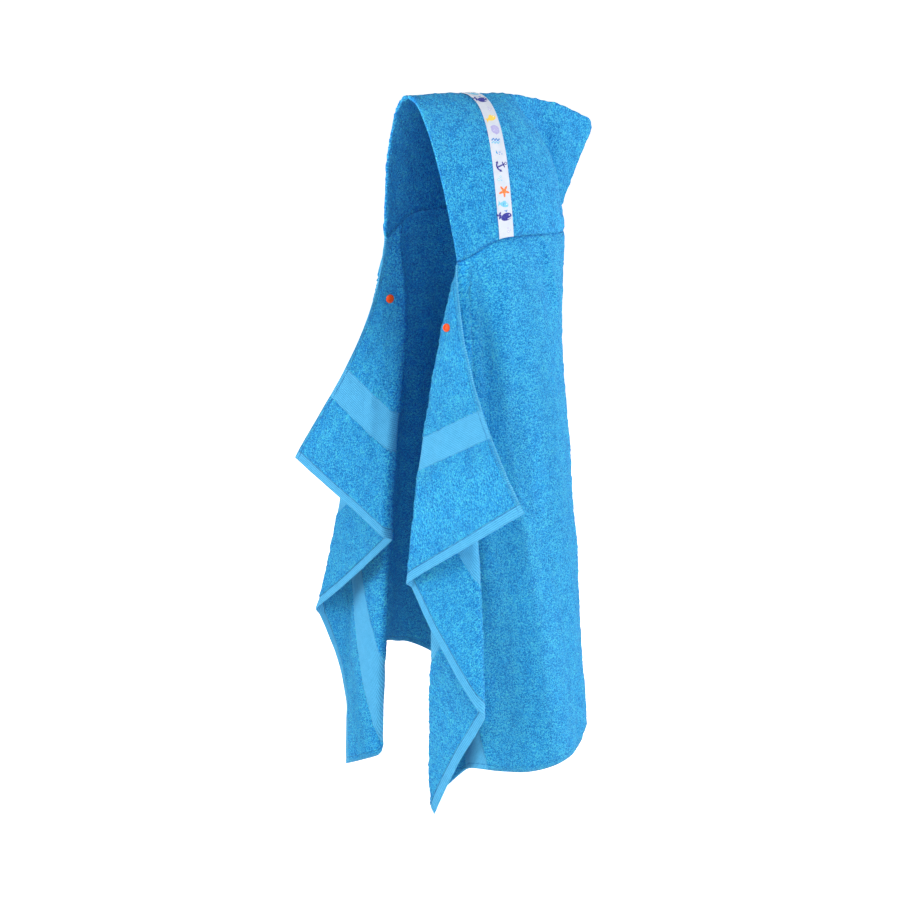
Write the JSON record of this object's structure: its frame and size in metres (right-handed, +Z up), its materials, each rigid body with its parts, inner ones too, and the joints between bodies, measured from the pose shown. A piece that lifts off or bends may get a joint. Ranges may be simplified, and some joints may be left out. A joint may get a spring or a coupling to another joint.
{
  "type": "hooded towel",
  "caption": "Terry bath towel with a pointed terry hood, a printed ribbon over the hood and a snap at the neck, hanging open as worn with its front corners folded back.",
  "frame": {"origin": "inside of the hood's crown, where the wearer's head holds the towel up", "axes": "+Z up, the wearer faces -Y, +X is the wearer's left"},
  "size_m": [0.4981, 0.3678, 1.0112],
  "materials": {
    "towel_terry": "bright blue loop terry with flat woven bands and hems",
    "hood_terry": "bright blue loop terry",
    "ribbon": "white woven ribbon with small printed sea motifs",
    "snap": "orange-red moulded plastic, satin gloss"
  },
  "bodies": {
    "root": {"towel": "towel_terry", "hood": "hood_terry", "ribbon": "ribbon", "snap_socket_left": "snap", "snap_cap_left": "snap", "snap_cap_right": "snap", "snap_stud_right": "snap"}
  },
  "joints": []
}
